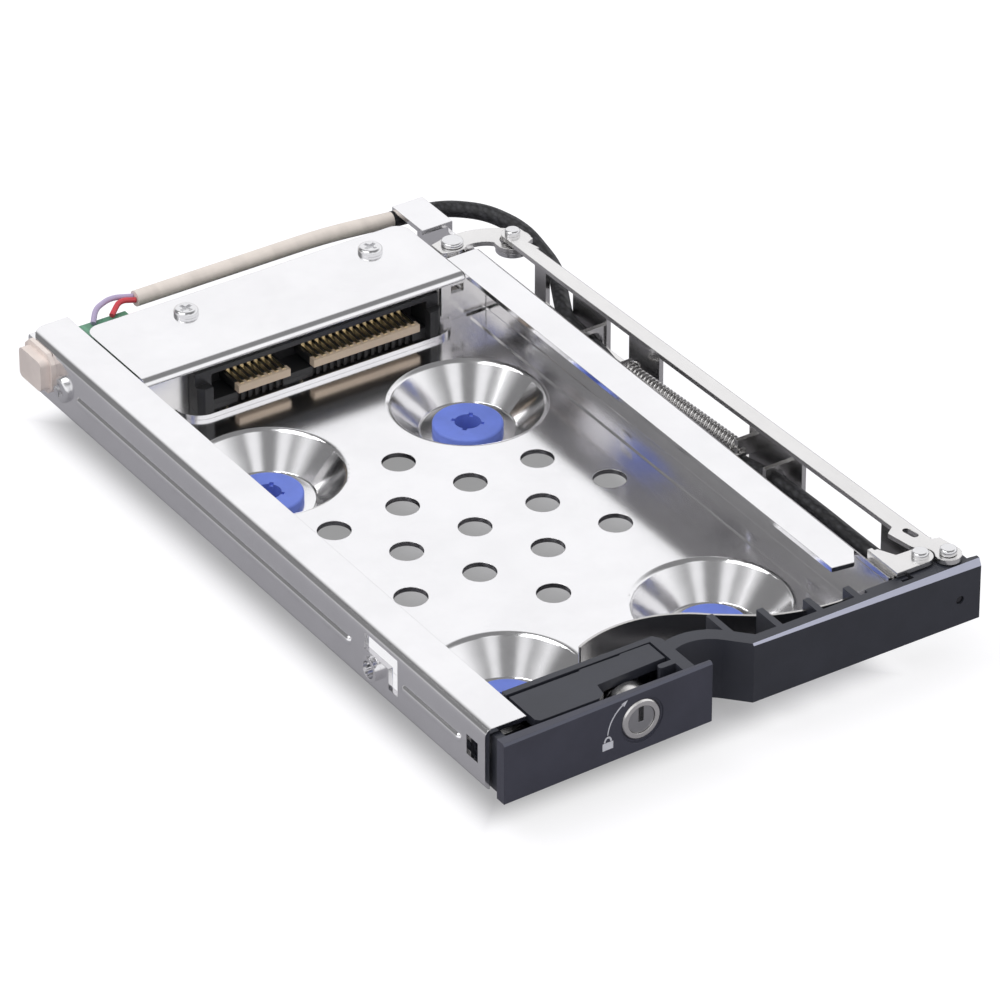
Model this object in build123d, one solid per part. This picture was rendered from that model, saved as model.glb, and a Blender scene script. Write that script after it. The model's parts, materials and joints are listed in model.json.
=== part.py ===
from build123d import *
import math
import os

# Removable rack for one 2.5 inch, 7 mm drive, millimetres
# X runs across the rack, Y from the door to the rear, Z up
# The origin is the centre of the four grommets, at the level that the grommets stand on

# Sheet and tray
sheet = 0.8
bend_radius = 1.3
drive_width = 69.85
bay_clearance = 1.15
bay_centre_x = 0.3
wall_height = 10.6
floor_top = 7.0
tray_front = -54.8
tray_rear = 75.5
right_wall_front = -54.1
floor_front = -46.9
left_flange_width = 7.1
right_flange_width = 6.5
ledge_width = 3.6
ledge_rise = 0.3
ledge_front = -43.4

# Grommets and the bowls that hold them
grommet_spacing_x = 36.6
grommet_spacing_y = 67.2
bowl_rim_radius = 12.6
bowl_floor_radius = 7.6
bowl_depth = 5.0
grommet_hole_radius = 3.9
grommet_flange_radius = 5.6
grommet_bore_radius = 2.1
grommet_top_height = 1.4

# Vents
vent_pitch_x = 12.3
vent_pitch_y = 10.8
vent_radius = 2.65
vent_row_y = 14.1

# Backplane
bracket_front = 55.3
board_thickness = 1.2
board_rear = 73.7
cover_front = 52.4
cover_rear = 71.0
cover_left_margin = 6.6
cover_right_margin = 5.8
screw_radius = 1.4
screw_head_radius = 2.0
cover_screw_x = (-12.8, 21.2)
cover_screw_y = 66.4
contact_pitch = 1.27
receptacle_left = -19.2
receptacle_right = 25.5
receptacle_front = 53.4
receptacle_depth = 8.2
tongue_left = -12.1
signal_tongue_width = 9.45
tongue_gap = 4.3
power_tongue_width = 19.6
tongue_front = 52.0
tongue_base = 9.3
tongue_thickness = 1.3

# Door
door_height = 10.4
door_front = -57.4
door_left_gap = 0.6
door_overhang = 8.1
bezel_thickness = 2.0
frame_rear = -47.5
frame_thickness = 1.1
recess_x = 1.1
recess_y = -58.5
recess_radius = 6.7
recess_wall = 2.5
recess_turn = 43.0
arm_left = -3.2
arm_right = -1.2
plate_left_inset = 0.5
plate_right = 1.5
plate_back = -57.2
plate_thickness = 1.9
plate_taper = 1.1
rib_thickness = 1.1
rib_tips = ((7.5, -47.5), (14.6, -50.2), (21.9, -51.7), (28.6, -52.4))
leaf_thickness = 0.4

# Lock and latch
lock_x = -11.1
lock_z = 11.4
barrel_radius = 3.35
barrel_body_radius = 4.0
core_radius = 2.3
crank_radius = 2.5
crank_pin_radius = 0.6
bolt_travel = 2.5

# Hinge, link and ejector
hinge_reach = 5.6
hinge_y = -53.0
hinge_pin_radius = 1.0
link_reach = 3.9
link_y = -54.7
rivet_head_radius = 1.35
rear_rivet_y = 57.4
lever_inset = 3.2
lever_pivot_y = 61.4
lever_play = 1.05
spring_turns = 32
spring_wire = 0.2
coil_radius = 1.05
front_lug_y = -6.8
rear_lug_y = 21.4
lug_hole_radius = 0.6

# Light and wiring
light_reach = 4.4
light_z = 10.6
bundle_radius = 1.3
sleeve_radius = 1.35
lead_radius = 0.5

# Clearances
running_gap = 0.3
pin_gap = 0.05

# Levels worked out from the sizes above
tray_bottom = floor_top - sheet
wall_top = tray_bottom + wall_height
bay_width = drive_width + bay_clearance
inner_left = bay_centre_x - bay_width / 2
inner_right = bay_centre_x + bay_width / 2
tray_left = inner_left - sheet
tray_right = inner_right + sheet
flange_left_edge = tray_left + left_flange_width
flange_right_edge = tray_right - right_flange_width
cover_left = inner_left + cover_left_margin
cover_right = inner_right - cover_right_margin
hinge_x = tray_right + hinge_reach
link_x = hinge_x + link_reach
rear_rivet_x = hinge_x
lever_pivot_x = tray_right - lever_inset
light_x = hinge_x + light_reach
door_left = inner_left + door_left_gap
door_right = hinge_x + door_overhang
plate_left = tray_left + plate_left_inset
door_bottom = tray_bottom
door_top = door_bottom + door_height
bezel_back = door_front + bezel_thickness
hinge_plate_bottom = door_top + running_gap
hinge_plate_top = hinge_plate_bottom + sheet
bowl_top = floor_top - bowl_depth
lever_top = hinge_plate_bottom - running_gap
lever_bottom = lever_top - sheet
inner_arm_bottom = floor_top + 7.4
ear_top = lever_bottom - running_gap
board_bottom = floor_top + 7.5
board_top = board_bottom + board_thickness


def box(x0, x1, y0, y1, z0, z1):
    return Pos((x0 + x1) / 2, (y0 + y1) / 2, (z0 + z1) / 2) * Box(x1 - x0, y1 - y0, z1 - z0)


def prism(points, z0, z1):
    outline = make_face(Polyline(*points, close=True))
    return Pos(0, 0, z0) * extrude(outline, amount=z1 - z0)


def rod(x, y, z0, z1, radius):
    return Pos(x, y, (z0 + z1) / 2) * Cylinder(radius, z1 - z0)


def rod_x(x0, x1, y, z, radius):
    return Pos((x0 + x1) / 2, y, z) * Rot(0, 90, 0) * Cylinder(radius, x1 - x0)


def rod_y(x, y0, y1, z, radius):
    return Pos(x, (y0 + y1) / 2, z) * Rot(90, 0, 0) * Cylinder(radius, y1 - y0)


def slot_hole(x, y, z0, z1, length, width, turn=0):
    outline = Rot(0, 0, turn) * SlotOverall(length, width)
    return Pos(x, y, z0) * extrude(outline, amount=z1 - z0)


def save(shape, name):
    export_step(shape, "parts/" + name + ".step")


def grommet_places():
    return [(sx * grommet_spacing_x / 2, sy * grommet_spacing_y / 2) for sy in (-1, 1) for sx in (-1, 1)]


# Tray
def channel():
    width = tray_right - tray_left
    outer = fillet(Rectangle(width, wall_height).vertices(), bend_radius)
    inner = fillet(Rectangle(width - 2 * sheet, wall_height - 2 * sheet).vertices(), bend_radius - sheet)
    section = outer - inner
    length = tray_rear - tray_front
    place = Pos((tray_left + tray_right) / 2, tray_rear, (tray_bottom + wall_top) / 2)
    body = place * extrude(Plane.XZ * section, amount=length)
    return body - box(flange_left_edge, flange_right_edge, tray_front - 1, tray_rear + 1, wall_top - 2, wall_top + 1)


def bowl():
    rim = bowl_rim_radius - 0.3
    slope = math.atan2(bowl_depth, rim - bowl_floor_radius)
    shift = sheet * math.tan(slope / 2)
    edge = bowl_rim_radius + 0.5
    low = -bowl_depth - sheet
    bends = {(bowl_floor_radius, -bowl_depth): 0.5, (rim, 0): 1.2, (rim + shift, -sheet): 0.4,
             (bowl_floor_radius + shift, low): 1.3}
    points = [(grommet_hole_radius, -bowl_depth), (bowl_floor_radius, -bowl_depth), (rim, 0), (edge, 0),
              (edge, -sheet), (rim + shift, -sheet), (bowl_floor_radius + shift, low), (grommet_hole_radius, low)]
    outline = make_face(Polyline(*points, close=True))
    for (x, y), radius in bends.items():
        corner = [v for v in outline.vertices() if math.hypot(v.X - x, v.Y - y) < 0.001]
        outline = fillet(corner, radius)
    return revolve(Plane.XZ * outline, axis=Axis.Z)


def vent_places():
    rows = {1: (0,), 0: (-1.5, -0.5, 0.5, 1.5), -1: (-2, -1, 0, 1, 2), -2: (-1.5, -0.5, 0.5, 1.5), -3: (0,)}
    return [(i * vent_pitch_x, vent_row_y + row * vent_pitch_y) for row, steps in rows.items() for i in steps]


def wall_bead(y0, y1, z):
    round_rod = Pos(tray_left + 0.25, (y0 + y1) / 2, z) * Rot(90, 0, 0) * Cylinder(0.8, y1 - y0 - 1.6)
    ends = [Pos(tray_left + 0.25, y, z) * Sphere(0.8) for y in (y0 + 0.8, y1 - 0.8)]
    whole = round_rod + ends
    return whole & box(tray_left - 0.55, tray_left + 0.3, y0, y1, z - 1, z + 1)


def tray():
    body = channel()
    body -= box(inner_left + 0.05, inner_right - 0.05, tray_front - 1, floor_front, tray_bottom - 1, floor_top + 1.4)
    body -= box(tray_left - 1, tray_left + 1.5, tray_front - 1, floor_front, tray_bottom - 1, tray_bottom + 0.01)
    # Right wall and its flange
    body -= box(tray_right - 5, tray_right + 1, tray_front - 1, right_wall_front, tray_bottom - 1, wall_top + 1)
    body -= prism(
        [(flange_right_edge - 1, -47.3), (tray_right - 2.8, -48.0), (inner_right - 0.1, -45.2), (inner_right - 0.1, -60),
         (flange_right_edge - 1, -60)],
        wall_top - sheet - 0.4, wall_top + 1)
    body -= box(flange_right_edge - 1, tray_right + 1, 57.9, tray_rear + 1, ear_top, wall_top + 1)
    body -= box(tray_right - 2, tray_right + 1, 71.3, tray_rear + 1, floor_top + 6.2, wall_top + 1)
    # Ear below the lever, narrow so that the lever's step clears it
    ear_radius = 1.95
    body += rod(lever_pivot_x, lever_pivot_y, ear_top - sheet, ear_top, ear_radius)
    body += box(lever_pivot_x, tray_right, lever_pivot_y - ear_radius, lever_pivot_y + ear_radius, ear_top - sheet, ear_top)
    clamp = box(tray_right - 5.7, tray_right, 66.3, 75.2, floor_top + 9.6, floor_top + 9.6 + sheet)
    clamp += box(inner_right, tray_right, 66.3, 70.8, ear_top - sheet, floor_top + 9.6 + sheet)
    body += clamp
    # Left rear corner and the left flange's front corner
    corner = 3.0
    cut = box(tray_left - 1, tray_left + corner, tray_rear - corner, tray_rear + 1, wall_top - sheet, wall_top + 1)
    body -= cut - rod(tray_left + corner, tray_rear - corner, wall_top - 2, wall_top + 2, corner)
    # Raised strips beside the bay
    strip_z = floor_top + ledge_rise
    for x in (inner_right - ledge_width, inner_left):
        body += box(x, x + ledge_width, ledge_front, bracket_front - 1, tray_bottom + 0.3, strip_z)
        body -= box(x, x + ledge_width, floor_front - 1, ledge_front, tray_bottom - 1, floor_top + 0.01)
    # Bowls
    for x, y in grommet_places():
        body -= rod(x, y, tray_bottom - 1, floor_top + 1, bowl_rim_radius + 0.5)
        body += Pos(x, y, floor_top) * bowl()
    # Vents
    for x, y in vent_places():
        body -= rod(x, y, tray_bottom - 1, floor_top + 1, vent_radius)
    # Slots in the right wall
    for y in (16.8, -17.6, -33.5):
        side_slot = SlotOverall(4.6, 2.6)
        body -= Pos(inner_right - 1, y, floor_top + 4.4) * Rot(90, 0, 90) * extrude(side_slot, amount=3)
    # Left wall beads
    body += wall_bead(-18.8, 60.8, floor_top + 4.7)
    body += wall_bead(-48.6, -32.7, floor_top + 4.7)
    # Left wall window round the threaded tab
    window = box(tray_left - 1, inner_left + 1, -31.4, -22.4, floor_top + 2.2, floor_top + 8.6)
    window -= box(tray_left - 2, inner_left + 2, -28.9, -21.0, floor_top + 1.0, floor_top + 5.7)
    body -= window
    body += Pos(tray_left - 0.2, -24.9, floor_top + 3.7) * Rot(0, 90, 0) * Cylinder(2.0, 1.6)
    body -= rod_x(tray_left - 2, inner_left + 2, -24.9, floor_top + 3.7, screw_radius)
    # Slot for the latch bolt in the left wall
    body -= box(tray_left - 1, inner_left + 1, -52.9, -49.9, floor_top + 3.1, floor_top + 6.5)
    # Holes for the side screw and for the bumper
    body -= rod_x(tray_left - 1, inner_left + 1, 64.9, floor_top + 4.6, screw_radius)
    body -= rod_x(tray_left - 1, inner_left + 1, 71.2, floor_top + 5.7, 1.5)
    # Hole for the lever's rivet and the spring's wall lug
    body -= rod(lever_pivot_x, lever_pivot_y, ear_top - 2, ear_top + 1, 1.2)
    lug = box(tray_right, tray_right + 4.6, rear_lug_y, rear_lug_y + sheet, floor_top + 3.8, floor_top + 6.2)
    lug -= rod_y(tray_right + 3.6, rear_lug_y - 1, rear_lug_y + 2, floor_top + 5.0, lug_hole_radius)
    body += lug
    return body


def grommet(x, y):
    top = rod(x, y, bowl_top, bowl_top + grommet_top_height, grommet_flange_radius)
    top = fillet(top.edges().sort_by(Axis.Z)[-1:], 0.35)
    neck = rod(x, y, bowl_top - sheet, bowl_top, grommet_hole_radius)
    foot = rod(x, y, 0, bowl_top - sheet, grommet_flange_radius)
    body = top + neck + foot
    body -= rod(x, y, -1, floor_top, grommet_bore_radius)
    for k in range(4):
        notch = Pos(grommet_bore_radius, 0, bowl_top + grommet_top_height) * Box(1.0, 0.7, 0.9)
        body -= Pos(x, y, 0) * Rot(0, 0, 45 + 90 * k) * notch
    return body


# Backplane
def backplane_bracket():
    plate = box(inner_left + 0.05, inner_right - 0.05, bracket_front, bracket_front + sheet, floor_top, board_top)
    plate -= box(receptacle_left - 0.05, receptacle_right + 0.05, 50, 60, floor_top - 1, floor_top + 7.45)
    plate -= box(receptacle_right + 0.5, inner_right + 1, 50, 60, inner_arm_bottom - 0.4, board_top + 1)
    plate -= box(inner_right - ledge_width - 0.1, inner_right + 1, 50, 60, floor_top - 1, floor_top + ledge_rise)
    plate -= box(inner_left - 1, inner_left + ledge_width + 0.1, 50, 60, floor_top - 1, floor_top + ledge_rise)
    plate -= box(-21.8, 28.8, 50, 60, floor_top - 1, floor_top + sheet)
    ear_left = box(inner_left + 0.05, inner_left + 0.05 + sheet, bracket_front, 68.0, floor_top + 1.0, floor_top + 7.4)
    ear_left -= rod_x(inner_left - 1, inner_left + 2, 64.9, floor_top + 4.6, screw_radius)
    ear_right = box(inner_right - 0.05 - sheet, inner_right - 0.05, bracket_front, 58.0, floor_top + 1.0, floor_top + 6.3)
    notch = box(inner_right - 6.8, inner_right - 4.2, 50, 60, floor_top + 4.8, floor_top + 6.2)
    return plate + ear_left + ear_right - notch


def connector_shelf():
    outline = Pos(3.5, 57.0) * fillet(Rectangle(50.0, 11.4).vertices(), 4.2)
    return Pos(0, 0, floor_top) * extrude(outline, amount=sheet)


def tongue_spans():
    power_left = tongue_left + signal_tongue_width + tongue_gap
    return (tongue_left, signal_tongue_width, 7), (power_left, power_tongue_width, 15)


def receptacle():
    rear = receptacle_front + receptacle_depth
    low = floor_top + sheet
    body = box(receptacle_left, receptacle_right, receptacle_front, rear, low, floor_top + 7.4)
    body -= box(-16.2, 23.4, receptacle_front - 1, receptacle_front + 4.6, low + 0.9, floor_top + 6.5)
    for side, x in ((1, receptacle_left), (-1, receptacle_right)):
        nose = [(x, receptacle_front), (x, receptacle_front - 0.7), (x + side * 0.9, receptacle_front - 1.6),
                (x + side * 2.4, receptacle_front - 1.6), (x + side * 2.4, receptacle_front)]
        body += prism(nose, low, floor_top + 5.2)
        body -= prism([(x - side, receptacle_front - 3), (x - side, receptacle_front + 1.3),
                       (x + side * 2.0, receptacle_front - 3)], floor_top + 5.2, floor_top + 8)
    for left, width, count in tongue_spans():
        body -= box(left - 0.01, left + width + 0.01, 50, receptacle_front + 6.0, tongue_base, tongue_base + tongue_thickness)
        for k in range(count):
            x = left + width / 2 + (k - (count - 1) / 2) * contact_pitch
            body -= box(x - 0.35, x + 0.35, receptacle_front - 1, receptacle_front + 0.5, low - 0.1, low + 0.9)
    return body


def tongue(left, width):
    return box(left, left + width, tongue_front, receptacle_front + 6.0, tongue_base, tongue_base + tongue_thickness)


def contacts(left, width, count):
    solids = []
    z = tongue_base + tongue_thickness
    for k in range(count):
        x = left + width / 2 + (k - (count - 1) / 2) * contact_pitch
        strip = box(x - 0.32, x + 0.32, tongue_front + 0.5, receptacle_front + 4.55, z, z + 0.18)
        solids.append(strip + box(x - 0.32, x + 0.32, receptacle_front + 3.4, receptacle_front + 4.55, z, z + 1.2))
    return Compound(children=solids)


def board():
    body = box(inner_left + 4.6, 26.5, bracket_front + sheet, board_rear, board_bottom, board_top)
    body -= box(23.6, 28, bracket_front, 63.6, board_bottom - 1, board_top + 1)
    body -= box(-19.6, 28, board_rear - 3.0, board_rear + 1, board_bottom - 1, board_top + 1)
    for x in cover_screw_x:
        body -= rod(x, cover_screw_y, board_bottom - 1, board_top + 1, 2.0)
    return body


def cover_posts():
    posts = []
    for x in cover_screw_x:
        post = rod(x, cover_screw_y, floor_top, wall_top - sheet, 1.95)
        posts.append(post - rod(x, cover_screw_y, wall_top - 5, wall_top, screw_radius))
    return Compound(children=posts)


def cover():
    with BuildPart() as part:
        with BuildSketch(Plane.YZ):
            with BuildLine():
                top = wall_top
                low = wall_top - 1.1
                Line((cover_rear, top), (cover_front + 1.3, top))
                ThreePointArc((cover_front + 1.3, top), (cover_front + 0.4, top - 0.35), (cover_front, low))
                Line((cover_front, low), (cover_front + sheet, low))
                ThreePointArc(
                    (cover_front + sheet, low), (cover_front + 0.95, low + 0.2), (cover_front + 1.4, top - sheet))
                Line((cover_front + 1.4, top - sheet), (cover_rear, top - sheet))
                Line((cover_rear, top - sheet), (cover_rear, top))
            make_face()
        extrude(amount=cover_right - cover_left)
    body = Pos(cover_left, 0, 0) * part.part
    for x in cover_screw_x:
        body -= rod(x, cover_screw_y, wall_top - 3, wall_top + 1, screw_radius + 0.05)
    corners = body.edges().filter_by(Axis.Z).group_by(Axis.Y)[-1]
    return fillet(corners, 2.4)


def cross_recess(size):
    return Box(size, size * 0.28, 0.7) + Box(size * 0.28, size, 0.7)


def cover_screws():
    screws = []
    for x in cover_screw_x:
        head = rod(x, cover_screw_y, wall_top, wall_top + 0.95, screw_head_radius)
        head = fillet(head.edges().sort_by(Axis.Z)[-1:], 0.6)
        head -= Pos(x, cover_screw_y, wall_top + 0.9) * Rot(0, 0, 20) * cross_recess(2.2)
        screws.append(head + rod(x, cover_screw_y, wall_top - 4.5, wall_top, screw_radius))
    return Compound(children=screws)


def side_screw():
    y = 64.9
    z = floor_top + 4.6
    head = Rot(0, -90, 0) * fillet(Cylinder(2.2, 0.9).edges().sort_by(Axis.Z)[-1:], 0.6)
    head = Pos(tray_left - 0.45, y, z) * head
    head -= Pos(tray_left - 0.85, y, z) * Rot(0, 90, 0) * cross_recess(2.4)
    return head + rod_x(tray_left, inner_left + 1.6, y, z, screw_radius)


def side_bumper():
    y = 71.2
    z = floor_top + 5.7
    plate = Pos(tray_left - 0.4, y, z) * Rot(0, 90, 0) * extrude(
        chamfer(Rectangle(7.2, 8.2).vertices(), 1.4), amount=0.8, both=False)
    plate = Pos(-0.4, 0, 0) * plate
    pad = Pos(tray_left - 2.4, y - 0.1, z) * Rot(0, 90, 0) * extrude(
        fillet(Rectangle(5.3, 6.6).vertices(), 0.9), amount=1.6)
    stem = rod_x(tray_left, inner_left + 1.2, y, z, 1.5)
    return plate + pad + stem


def rear_plug(left, width):
    shell = box(left, left + width, 66.2, 73.4, floor_top + 1.6, board_bottom)
    shell -= box(left + 0.8, left + width - 0.8, 69.0, 76.0, floor_top + 2.4, board_bottom - 0.8)
    return shell + box(left + 1.8, left + width - 1.8, 68.9, 72.6, floor_top + 4.3, floor_top + 5.5)


# Wiring
def tube(points, radii, radius):
    path = FilletPolyline(*points, radius=radii) if radii else Polyline(*points)
    profile = Plane(origin=path @ 0, z_dir=path % 0) * Circle(radius)
    return sweep(profile, path=path)


def arc_radii(points):
    radii = []
    for a, b, c in zip(points, points[1:], points[2:]):
        first = Vector(*b) - Vector(*a)
        second = Vector(*c) - Vector(*b)
        turn = math.radians(first.get_angle(second))
        radii.append(0.45 * min(first.length, second.length) / math.tan(turn / 2))
    return radii


def wire(name, points, radius):
    radii = arc_radii(points)
    print(name, "arc radii", [round(r, 1) for r in radii])
    body = tube(points, None, radius) if not radii else round_tube(points, radii, radius)
    save(body, name)


def round_tube(points, radii, radius):
    pieces = []
    start = Vector(*points[0])
    for k, r in enumerate(radii):
        a = Vector(*points[k])
        b = Vector(*points[k + 1])
        c = Vector(*points[k + 2])
        back = (a - b).normalized()
        ahead = (c - b).normalized()
        turn = math.pi - math.radians(back.get_angle(ahead))
        cut = r * math.tan(turn / 2)
        enter = b + back * cut
        leave = b + ahead * cut
        middle = b + (back + ahead).normalized() * (r / math.cos(turn / 2) - r)
        pieces.append(Line(start, enter))
        pieces.append(ThreePointArc(enter, middle, leave))
        start = leave
    pieces.append(Line(start, Vector(*points[-1])))
    path = Wire([edge for piece in pieces for edge in piece.edges()])
    profile = Plane(origin=path @ 0, z_dir=path % 0) * Circle(radius)
    return sweep(profile, path=path)


# Door
def recess_outline(radius, offset):
    a = math.radians(recess_turn)
    edge = recess_x + radius * math.cos(a), recess_y + radius * math.sin(a)
    reach = (edge[1] - (door_front if offset == 0 else bezel_back - 0.01)) / math.cos(a)
    corner = edge[0] + reach * math.sin(a), edge[1] - reach * math.cos(a)
    return edge, corner


def door():
    z0 = door_bottom
    z1 = door_top
    inner_edge, inner_corner = recess_outline(recess_radius, 0)
    outer_edge, outer_corner = recess_outline(recess_radius + recess_wall, recess_wall)
    half = math.sqrt(recess_radius**2 - (arm_right - recess_x) ** 2)
    start_in = (arm_right, recess_y + half)
    r_out = recess_radius + recess_wall
    start_out = (arm_right - 0.6, recess_y + math.sqrt(r_out**2 - (arm_right - 0.6 - recess_x) ** 2))
    with BuildPart() as part:
        with BuildSketch():
            with BuildLine():
                ThreePointArc(start_in, (recess_x, recess_y + recess_radius), inner_edge)
                Line(inner_edge, inner_corner)
                Line(inner_corner, (outer_corner[0], door_front))
                Line((outer_corner[0], door_front), outer_corner)
                Line(outer_corner, outer_edge)
                ThreePointArc(outer_edge, (recess_x + 0.5, recess_y + math.sqrt(r_out**2 - 0.25)), start_out)
                Line(start_out, start_in)
            make_face()
        extrude(amount=door_height)
    body = Pos(0, 0, z0) * part.part
    # Bezel wall, thicker beside the hinge and thin at its right end
    body += prism(
        [(outer_corner[0] - 0.6, door_front), (door_right, door_front), (door_right, bezel_back - 0.8),
         (hinge_x + 6.4, bezel_back - 0.6), (hinge_x + 6.4, -54.6), (hinge_x - 11.2, -54.6), (hinge_x - 11.2, bezel_back), (outer_corner[0] - 0.6, bezel_back)],
        z0, z1)
    # Hinge boss and link boss
    body += rod(hinge_x, hinge_y, z0, z1, 3.0)
    boss = [(hinge_x - 3.0, -55.4), (hinge_x - 3.0, hinge_y), (hinge_x + 3.0, hinge_y), (hinge_x + 6.2, -54.6),
            (hinge_x + 6.2, -55.4)]
    body += prism(boss, z0, z1)
    body -= rod(hinge_x, hinge_y, z0 - 1, z1 + 1, hinge_pin_radius + pin_gap)
    body -= rod(link_x, link_y, z1 - 4.0, z1 + 1, 0.9)
    # Ribs behind the bezel
    for x, tip in rib_tips:
        root = bezel_back - 0.5 if x > 10 else recess_y + 5.2
        body += box(x, x + rib_thickness, root, tip, z0, z1)
    # Frame bar, arm, hook and the tray below the latch
    body += box(door_left, arm_left, frame_rear - frame_thickness, frame_rear, z0, z1)
    body += prism(
        [(arm_left, -49.3), (arm_left, frame_rear), (-2.1, frame_rear), (arm_right, -48.9), (arm_right, -49.6)], z0, z1)
    body += box(arm_left, arm_right, plate_back, -49.2, z0, z1)
    body += box(-5.3, arm_left, -55.2, -54.1, z0, z1)
    body += rod(-5.3, -54.65, z0, z1, 0.55)
    body += box(door_left, arm_left, plate_back, frame_rear - frame_thickness, z0, z0 + 1.2)
    for x in (-30.6, -18.6):
        guide = box(x, x + 1.6, -53.6, -49.5, z0 + 1.0, floor_top + 5.0)
        body += guide - box(x - 1, x + 3, -52.7, -50.1, floor_top + 3.4, floor_top + 6)
    body += box(door_left, door_left + 1.4, plate_back, frame_rear - frame_thickness, z0, z1)
    body += box(door_left, door_left + 4.0, plate_back, plate_back + 0.9, z0, z1)
    # Lower top below the tray's left flange
    body -= box(door_left - 1, flange_left_edge + 0.6, plate_back - 1, frame_rear + 1, wall_top - sheet - 0.4, z1 + 1)
    # Window for the latch bolt
    body -= box(door_left - 1, door_left + 2, -52.7, -50.1, floor_top + 3.4, floor_top + 6.3)
    # Seat for the lock barrel
    body -= rod_y(lock_x, plate_back - 1, -53.0, lock_z, barrel_body_radius + 0.01)
    # Slots in the rib tips that hold the leaf
    body -= pressure_leaf(0.02)
    # T slot beside the hinge bracket
    body -= box(hinge_x - 5.3, hinge_x - 3.2, -56.0, -55.5, z1 - 5, z1 + 1)
    body -= box(hinge_x - 3.9, hinge_x - 3.3, -55.5, -54.0, z1 - 5, z1 + 1)
    # Light hole
    body -= rod_y(light_x, door_front - 1, hinge_y, light_z, 0.7)
    # Bevel along the bezel's top edge, wider towards the right
    x0 = inner_corner[0] - 0.1
    left_drop = 0.7
    right_drop = 1.6
    wedge = Solid.make_loft([
        Wire.make_polygon([(x0, door_front - 0.2, z1 - left_drop), (x0, door_front + 0.3, z1 + 0.1),
                           (x0, door_front - 0.2, z1 + 0.1)]),
        Wire.make_polygon([(door_right + 0.1, door_front - 0.2, z1 - right_drop),
                           (door_right + 0.1, door_front + 0.6, z1 + 0.1),
                           (door_right + 0.1, door_front - 0.2, z1 + 0.1)])])
    body -= wedge
    return body


def lock_plate():
    front = plate_back - plate_thickness
    body = prism(
        [(plate_left, plate_back), (plate_left, front), (plate_right, front + plate_taper), (plate_right, plate_back)],
        door_bottom, door_top)
    top_front = body.edges().sort_by(Axis.Z)[-4:].sort_by(Axis.Y)[0]
    body = chamfer(top_front, 0.35)
    body -= rod_y(lock_x, front - 1, plate_back + 1, lock_z, barrel_radius + 0.05)
    ring = plate_back - 0.9
    body -= rod_y(lock_x, front - 1, ring, lock_z, barrel_radius + 0.45)
    return body


def latch_cover():
    rear = frame_rear - frame_thickness - 0.15
    points = [
        (-3.6, rear - 0.1), (-8.7, rear), (-8.7, rear - 0.25), (-15.9, rear - 0.15), (-15.9, rear - 0.45),
        (door_left + 6.4, rear - 0.45), (door_left + 6.4, -56.0), (door_left + 7.0, -56.6), (-17.4, -56.6), (-16.2, -55.8), (-15.8, -53.6),
        (-6.1, -53.2), (-3.6, -53.1)]
    body = prism(points, floor_top + 8.0, door_top - 0.05)
    return body + box(door_left + 6.4, -16.0, -49.4, rear - 0.45, door_bottom + 1.2, floor_top + 8.1)


def latch_bolt():
    z0 = floor_top + 3.7
    z1 = floor_top + 6.0
    bar = box(door_left + 0.2, lock_x - 1.6, -52.4, -50.4, z0, z1)
    fork = box(lock_x - 3.4, lock_x + 3.4, -52.4, -50.4, floor_top + 2.6, floor_top + 7.7)
    fork -= box(lock_x - 1.25, lock_x + 1.25, -53, -50, floor_top + 3.4, floor_top + 8)
    return bar + fork


def lock_barrel():
    front = plate_back - 1.1
    body = rod_y(lock_x, front, plate_back, lock_z, barrel_radius)
    body += rod_y(lock_x, plate_back, -53.8, lock_z, barrel_body_radius)
    body -= rod_y(lock_x, front - 1, -53, lock_z, core_radius + pin_gap)
    edge = body.edges().filter_by(GeomType.CIRCLE).sort_by(Axis.Y)
    return chamfer([e for e in edge if abs(e.center().Y - front) < 0.01 and e.radius > 3][:1], 0.25)


def lock_core():
    front = plate_back - 0.9
    body = rod_y(lock_x, front, -53.5, lock_z, core_radius)
    body += rod_y(lock_x, -53.5, -52.8, lock_z, crank_radius + crank_pin_radius + 0.1)
    body += rod_y(lock_x, -52.8, -51.0, lock_z + crank_radius, crank_pin_radius)
    body -= box(lock_x - 0.45, lock_x + 0.45, front - 1, front + 1.6, lock_z - 0.4, lock_z + core_radius + 1)
    return body


def light_pipe():
    return rod_y(light_x, door_front + 0.3, bezel_back + 0.2, light_z, 0.69)


def pressure_leaf(extra=0.0):
    z0 = floor_top + 1.4 - extra
    z1 = floor_top + 8.2 + extra
    with BuildPart() as part:
        with BuildSketch():
            with BuildLine() as line:
                ThreePointArc((-11.3, -42.3), (-0.6, -40.9), (9.6, -45.9))
                Line((9.6, -45.9), (15.4, -50.0))
                ThreePointArc((15.4, -50.0), (21.6, -52.35), (30.8, -53.25))
                offset(line.line, amount=leaf_thickness / 2 + extra, side=Side.BOTH)
            make_face()
        extrude(amount=z1 - z0)
    return Pos(0, 0, z0) * part.part


# Hinge, link and ejector
def hinge_bracket():
    z0 = hinge_plate_bottom
    z1 = hinge_plate_top
    low = door_bottom - running_gap - sheet
    arm = [(tray_right, -48.0), (tray_right + 1.3, -48.1), (tray_right + 2.7, -50.9), (hinge_x, hinge_y + 2.0), (hinge_x, hinge_y - 2.0),
           (tray_right + 1.4, hinge_y - 2.0), (tray_right, hinge_y - 2.0)]
    body = prism(arm, z0, z1) + rod(hinge_x, hinge_y, z0, z1, 2.0)
    body += prism(arm, low, low + sheet) + rod(hinge_x, hinge_y, low, low + sheet, 2.0)
    body += box(tray_right, tray_right + sheet, right_wall_front - 0.1, -47.4, low, z1)
    body -= rod(hinge_x, hinge_y, low - 1, z1 + 1, hinge_pin_radius)
    return body


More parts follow.
